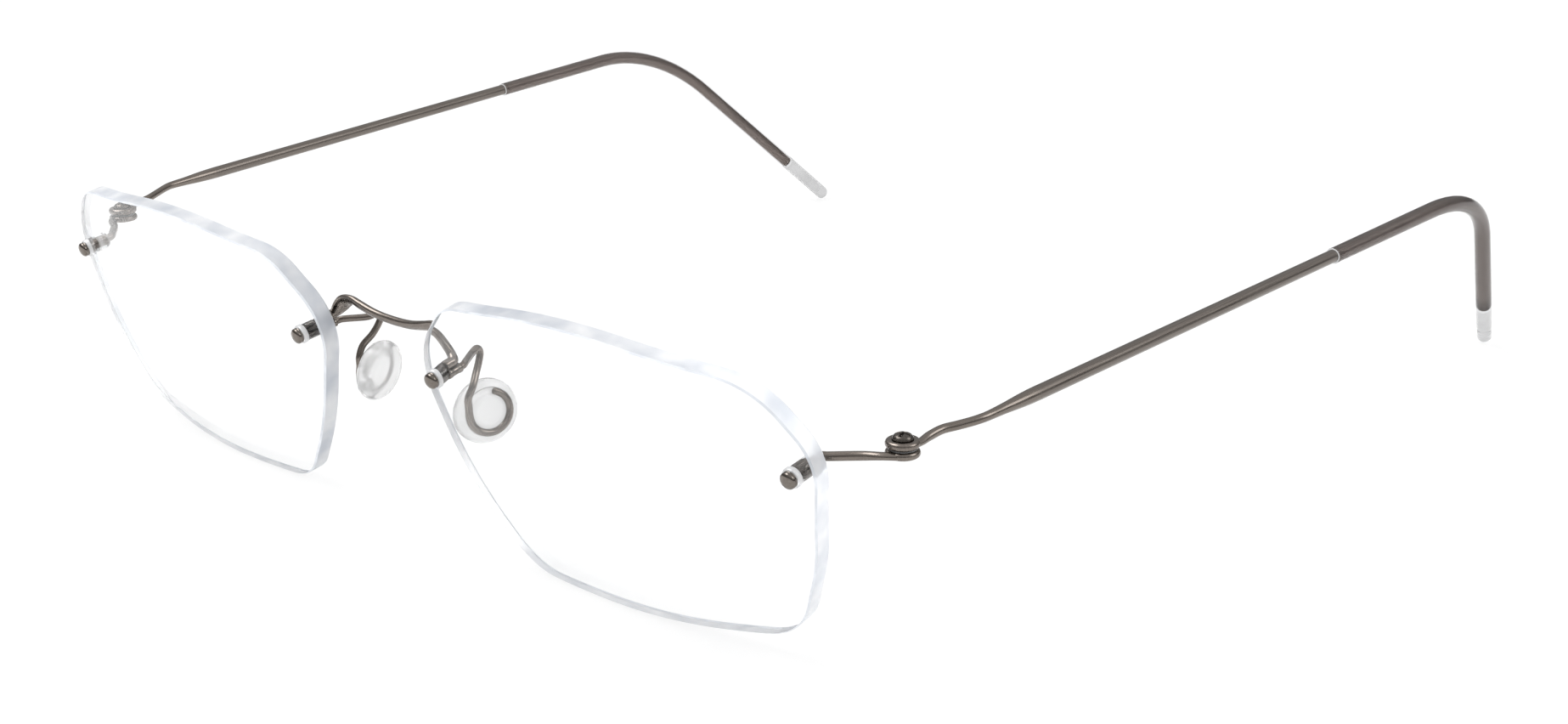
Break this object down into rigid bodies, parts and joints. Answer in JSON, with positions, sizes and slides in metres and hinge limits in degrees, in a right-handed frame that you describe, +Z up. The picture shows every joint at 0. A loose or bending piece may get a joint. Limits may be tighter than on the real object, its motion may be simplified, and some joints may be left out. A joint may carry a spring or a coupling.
{
  "type": "eyeglasses",
  "caption": "Rimless eyeglasses of bent titanium wire with drilled lenses, clear temple sleeves, silicone nose pads and temples that fold at screwed eye hinges.",
  "frame": {"origin": "middle of the model's bounding box at its bottom, which is the table plane under the lenses and the temple tips", "axes": "+X towards the wearer's left, +Y from the lenses back along the temples, +Z up; the front of the glasses faces -Y"},
  "size_m": [0.1416, 0.1439, 0.0315],
  "materials": {
    "titanium": "polished warm grey titanium",
    "lens": "clear, polished faces and satin edge",
    "clear_plastic": "clear gloss",
    "clear_tubing": "clear soft tubing",
    "silicone": "clear soft silicone"
  },
  "bodies": {
    "front": {"left_lens": "lens", "right_lens": "lens", "left_nasal_bush": "clear_plastic", "right_nasal_bush": "clear_plastic", "left_temporal_bush": "clear_plastic", "right_temporal_bush": "clear_plastic", "left_nasal_cap": "titanium", "right_nasal_cap": "titanium", "left_temporal_cap": "titanium", "right_temporal_cap": "titanium", "bridge": "titanium", "left_pad_arm": "titanium", "right_pad_arm": "titanium", "left_pad_crimp": "titanium", "right_pad_crimp": "titanium", "left_nose_pad": "silicone", "right_nose_pad": "silicone", "left_end_piece": "titanium", "right_end_piece": "titanium", "left_hinge_washer": "clear_plastic", "right_hinge_washer": "clear_plastic", "left_hinge_screw": "titanium", "right_hinge_screw": "titanium"},
    "left_temple_arm": {"left_temple": "titanium", "left_temple_sleeve": "clear_tubing"},
    "right_temple_arm": {"right_temple": "titanium", "right_temple_sleeve": "clear_tubing"}
  },
  "joints": [
    {"name": "left_temple_fold", "type": "hinge", "parent": "front", "child": "left_temple_arm", "pos_m": [0.06338, -0.05798, 0.02295], "axis": [0, 0, 1], "range_deg": [0, 90]},
    {"name": "right_temple_fold", "type": "hinge", "parent": "front", "child": "right_temple_arm", "pos_m": [-0.06338, -0.05798, 0.02295], "axis": [0, 0, -1], "range_deg": [0, 76]}
  ]
}
